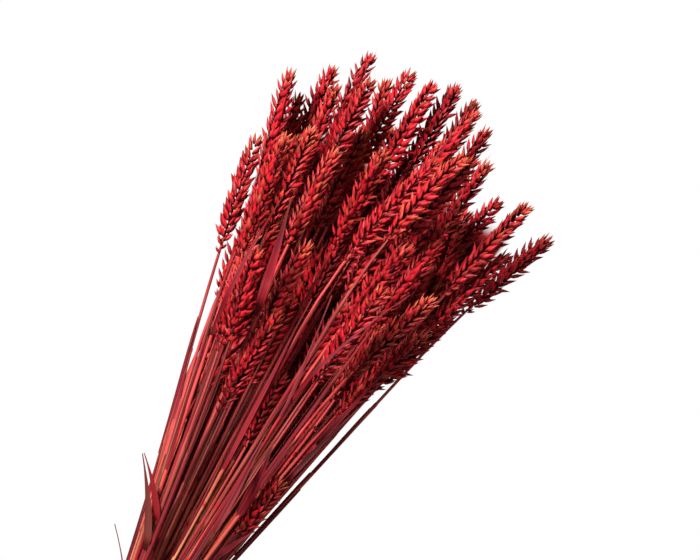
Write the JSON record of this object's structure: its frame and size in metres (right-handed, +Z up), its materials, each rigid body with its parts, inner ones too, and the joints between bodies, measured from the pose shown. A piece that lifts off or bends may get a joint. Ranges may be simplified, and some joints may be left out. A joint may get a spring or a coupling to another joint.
{
  "type": "dried wheat bunch",
  "caption": "Bunch of dried, crimson-dyed wheat that lies on its side: stiff stems with awnless two-rowed ears and strap leaves fan out from a wound tie.",
  "frame": {"origin": "middle of the tie's flat underside, on the surface that the bunch lies on", "axes": "+X along the bunch from the tie towards the ears, +Z up, +Y to the left when looking along +X"},
  "size_m": [0.6481, 0.2251, 0.137],
  "materials": {
    "dyed_wheat": "dry matt plant fibre, dyed crimson, with straw showing at the tips and lower stems",
    "raffia": "undyed raffia, matt"
  },
  "bodies": {
    "root": {"stalk_01": "dyed_wheat", "stalk_02": "dyed_wheat", "stalk_03": "dyed_wheat", "stalk_04": "dyed_wheat", "stalk_05": "dyed_wheat", "stalk_06": "dyed_wheat", "stalk_07": "dyed_wheat", "stalk_08": "dyed_wheat", "stalk_09": "dyed_wheat", "stalk_10": "dyed_wheat", "stalk_11": "dyed_wheat", "stalk_12": "dyed_wheat", "stalk_13": "dyed_wheat", "stalk_14": "dyed_wheat", "stalk_15": "dyed_wheat", "stalk_16": "dyed_wheat", "stalk_17": "dyed_wheat", "stalk_18": "dyed_wheat", "stalk_19": "dyed_wheat", "stalk_20": "dyed_wheat", "stalk_21": "dyed_wheat", "stalk_22": "dyed_wheat", "stalk_23": "dyed_wheat", "stalk_24": "dyed_wheat", "stalk_25": "dyed_wheat", "stalk_26": "dyed_wheat", "stalk_27": "dyed_wheat", "stalk_28": "dyed_wheat", "stalk_29": "dyed_wheat", "stalk_30": "dyed_wheat", "stalk_31": "dyed_wheat", "stalk_32": "dyed_wheat", "stalk_33": "dyed_wheat", "stalk_34": "dyed_wheat", "stalk_35": "dyed_wheat", "stalk_36": "dyed_wheat", "stalk_37": "dyed_wheat", "stalk_38": "dyed_wheat", "stalk_39": "dyed_wheat", "stalk_40": "dyed_wheat", "stalk_41": "dyed_wheat", "stalk_42": "dyed_wheat", "stalk_43": "dyed_wheat", "stalk_44": "dyed_wheat", "stalk_45": "dyed_wheat", "stalk_46": "dyed_wheat", "stalk_47": "dyed_wheat", "stalk_48": "dyed_wheat", "stalk_49": "dyed_wheat", "stalk_50": "dyed_wheat", "stalk_51": "dyed_wheat", "stalk_52": "dyed_wheat", "stalk_53": "dyed_wheat", "stalk_54": "dyed_wheat", "stalk_55": "dyed_wheat", "stalk_56": "dyed_wheat", "stalk_57": "dyed_wheat", "tie": "raffia"}
  },
  "joints": []
}
